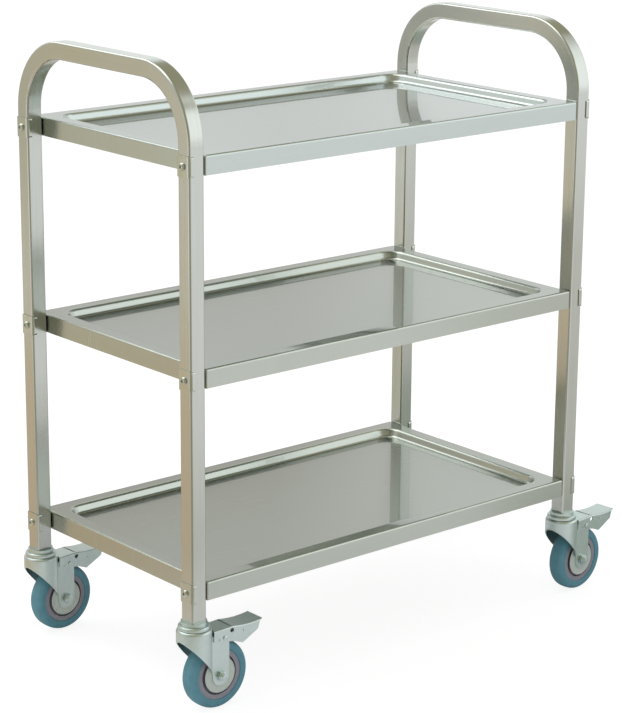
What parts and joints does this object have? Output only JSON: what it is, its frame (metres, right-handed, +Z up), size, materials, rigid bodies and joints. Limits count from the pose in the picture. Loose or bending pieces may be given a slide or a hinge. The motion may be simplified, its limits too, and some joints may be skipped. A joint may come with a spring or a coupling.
{
  "type": "serving trolley",
  "caption": "Serving trolley of bent square-tube end frames with handles, pressed trays bolted between them and braked swivel casters.",
  "frame": {"origin": "on the floor at the middle of the whole footprint, casters and pedals at rest included", "axes": "+X along the length, the way the casters trail, +Y across the width, +Z up"},
  "size_m": [0.858, 0.425, 0.9],
  "materials": {
    "stainless": "satin",
    "zinc": "bright zinc plate",
    "guard_plastic": "smooth light grey",
    "hub_plastic": "grey moulded",
    "tyre_rubber": "matt grey-blue rubber",
    "insert_plastic": "black nylon"
  },
  "bodies": {
    "frame": {"left_end_frame": "stainless", "right_end_frame": "stainless", "bottom_tray": "stainless", "middle_tray": "stainless", "top_tray": "stainless", "saddle_plates": "stainless", "tray_bolts": "stainless", "spacer_washers": "stainless", "tray_nuts": "zinc", "tube_inserts": "insert_plastic", "caster_stems": "zinc", "top_races": "zinc", "lower_washers": "zinc"},
    "front_left_caster": {"front_left_fork": "zinc", "front_left_ball_ring": "zinc", "front_left_axle_bolt": "zinc", "front_left_axle_nut": "zinc", "front_left_bush": "zinc", "front_left_thread_guards": "guard_plastic", "front_left_pedal_pin": "zinc"},
    "front_left_wheel": {"front_left_hub": "hub_plastic", "front_left_tyre": "tyre_rubber"},
    "front_left_pedal": {"front_left_brake_pedal": "zinc"},
    "back_left_caster": {"back_left_fork": "zinc", "back_left_ball_ring": "zinc", "back_left_axle_bolt": "zinc", "back_left_axle_nut": "zinc", "back_left_bush": "zinc", "back_left_thread_guards": "guard_plastic", "back_left_pedal_pin": "zinc"},
    "back_left_wheel": {"back_left_hub": "hub_plastic", "back_left_tyre": "tyre_rubber"},
    "back_left_pedal": {"back_left_brake_pedal": "zinc"},
    "front_right_caster": {"front_right_fork": "zinc", "front_right_ball_ring": "zinc", "front_right_axle_bolt": "zinc", "front_right_axle_nut": "zinc", "front_right_bush": "zinc", "front_right_thread_guards": "guard_plastic", "front_right_pedal_pin": "zinc"},
    "front_right_wheel": {"front_right_hub": "hub_plastic", "front_right_tyre": "tyre_rubber"},
    "front_right_pedal": {"front_right_brake_pedal": "zinc"},
    "back_right_caster": {"back_right_fork": "zinc", "back_right_ball_ring": "zinc", "back_right_axle_bolt": "zinc", "back_right_axle_nut": "zinc", "back_right_bush": "zinc", "back_right_thread_guards": "guard_plastic", "back_right_pedal_pin": "zinc"},
    "back_right_wheel": {"back_right_hub": "hub_plastic", "back_right_tyre": "tyre_rubber"},
    "back_right_pedal": {"back_right_brake_pedal": "zinc"}
  },
  "joints": [
    {"name": "front_left_swivel", "type": "hinge", "parent": "frame", "child": "front_left_caster", "pos_m": [-0.40395, -0.1875, 0.125], "axis": [0, 0, 1], "continuous": true},
    {"name": "front_left_roll", "type": "hinge", "parent": "front_left_caster", "child": "front_left_wheel", "pos_m": [-0.36895, -0.1875, 0.05], "axis": [0, 1, 0], "continuous": true},
    {"name": "front_left_brake", "type": "hinge", "parent": "front_left_caster", "child": "front_left_pedal", "pos_m": [-0.36295, -0.1875, 0.1045], "axis": [0, 1, 0], "range_deg": [0, 18]},
    {"name": "back_left_swivel", "type": "hinge", "parent": "frame", "child": "back_left_caster", "pos_m": [-0.40395, 0.1875, 0.125], "axis": [0, 0, 1], "continuous": true},
    {"name": "back_left_roll", "type": "hinge", "parent": "back_left_caster", "child": "back_left_wheel", "pos_m": [-0.36898, 0.18897, 0.05], "axis": [-0.0419, 0.9991, 0], "continuous": true},
    {"name": "back_left_brake", "type": "hinge", "parent": "back_left_caster", "child": "back_left_pedal", "pos_m": [-0.36299, 0.18922, 0.1045], "axis": [-0.0419, 0.9991, 0], "range_deg": [0, 18]},
    {"name": "front_right_swivel", "type": "hinge", "parent": "frame", "child": "front_right_caster", "pos_m": [0.32105, -0.1875, 0.125], "axis": [0, 0, 1], "continuous": true},
    {"name": "front_right_roll", "type": "hinge", "parent": "front_right_caster", "child": "front_right_wheel", "pos_m": [0.35597, -0.18518, 0.05], "axis": [-0.0663, 0.9978, 0], "continuous": true},
    {"name": "front_right_brake", "type": "hinge", "parent": "front_right_caster", "child": "front_right_pedal", "pos_m": [0.36196, -0.18478, 0.1045], "axis": [-0.0663, 0.9978, 0], "range_deg": [0, 18]},
    {"name": "back_right_swivel", "type": "hinge", "parent": "frame", "child": "back_right_caster", "pos_m": [0.32105, 0.1875, 0.125], "axis": [0, 0, 1], "continuous": true},
    {"name": "back_right_roll", "type": "hinge", "parent": "back_right_caster", "child": "back_right_wheel", "pos_m": [0.35605, 0.1875, 0.05], "axis": [0, 1, 0], "continuous": true},
    {"name": "back_right_brake", "type": "hinge", "parent": "back_right_caster", "child": "back_right_pedal", "pos_m": [0.36205, 0.1875, 0.1045], "axis": [0, 1, 0], "range_deg": [0, 18]}
  ]
}
